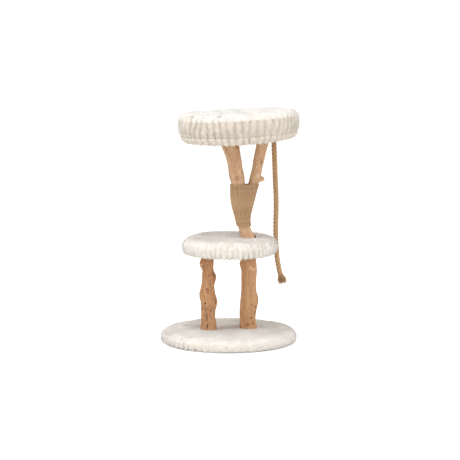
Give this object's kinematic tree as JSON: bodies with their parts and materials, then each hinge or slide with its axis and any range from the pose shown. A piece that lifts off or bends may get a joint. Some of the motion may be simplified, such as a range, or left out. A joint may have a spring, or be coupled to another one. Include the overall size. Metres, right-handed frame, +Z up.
{
  "type": "cat tree",
  "caption": "Two-level cat tree: round plush base, natural wood posts, a small platform, a forked branch wrapped in jute, a round plush bed on top and a hanging play rope.",
  "frame": {"origin": "centre of the round base, on the floor", "axes": "+Z up; +X towards the side that the play rope hangs on; +Y to the back, away from the side where the skirt hangs deepest"},
  "size_m": [0.5604, 0.558, 0.9656],
  "materials": {
    "plush": "matte",
    "foam": "matte",
    "elastic": "matte",
    "board": "matte",
    "driftwood": "matte",
    "branch_wood": "satin",
    "jute": "matte",
    "rope": "matte",
    "zinc": "satin",
    "rubber": "matte"
  },
  "bodies": {
    "tree": {"base_board": "board", "base_bolt_left": "zinc", "base_bolt_right": "zinc", "base_cover": "plush", "base_hem_elastic": "elastic", "base_pad": "foam", "base_washer_left": "zinc", "base_washer_right": "zinc", "bed_board": "board", "bed_cover": "plush", "bed_cushion": "foam", "bed_hem_elastic": "elastic", "bed_screw_left": "zinc", "bed_screw_right": "zinc", "bed_skirt": "plush", "bed_washer_left": "zinc", "bed_washer_right": "zinc", "branch_stud": "zinc", "foot_pad_1": "rubber", "foot_pad_2": "rubber", "foot_pad_3": "rubber", "foot_pad_4": "rubber", "foot_pad_5": "rubber", "foot_pad_6": "rubber", "forked_branch": "branch_wood", "knotty_post": "driftwood", "platform_board": "board", "platform_bolt": "zinc", "platform_cover": "plush", "platform_hem_elastic": "elastic", "platform_pad": "foam", "platform_washer": "zinc", "rope_knot": "rope", "jute_wrap": "jute", "smooth_post": "branch_wood"},
    "rope": {"rope": "rope", "rope_tuft": "rope"}
  },
  "joints": [
    {"name": "rope_swing", "type": "hinge", "parent": "tree", "child": "rope", "pos_m": [0.1865, 0.095, 0.84581], "axis": [0.4508, -0.8926, 0], "range_deg": [0, 40]}
  ]
}
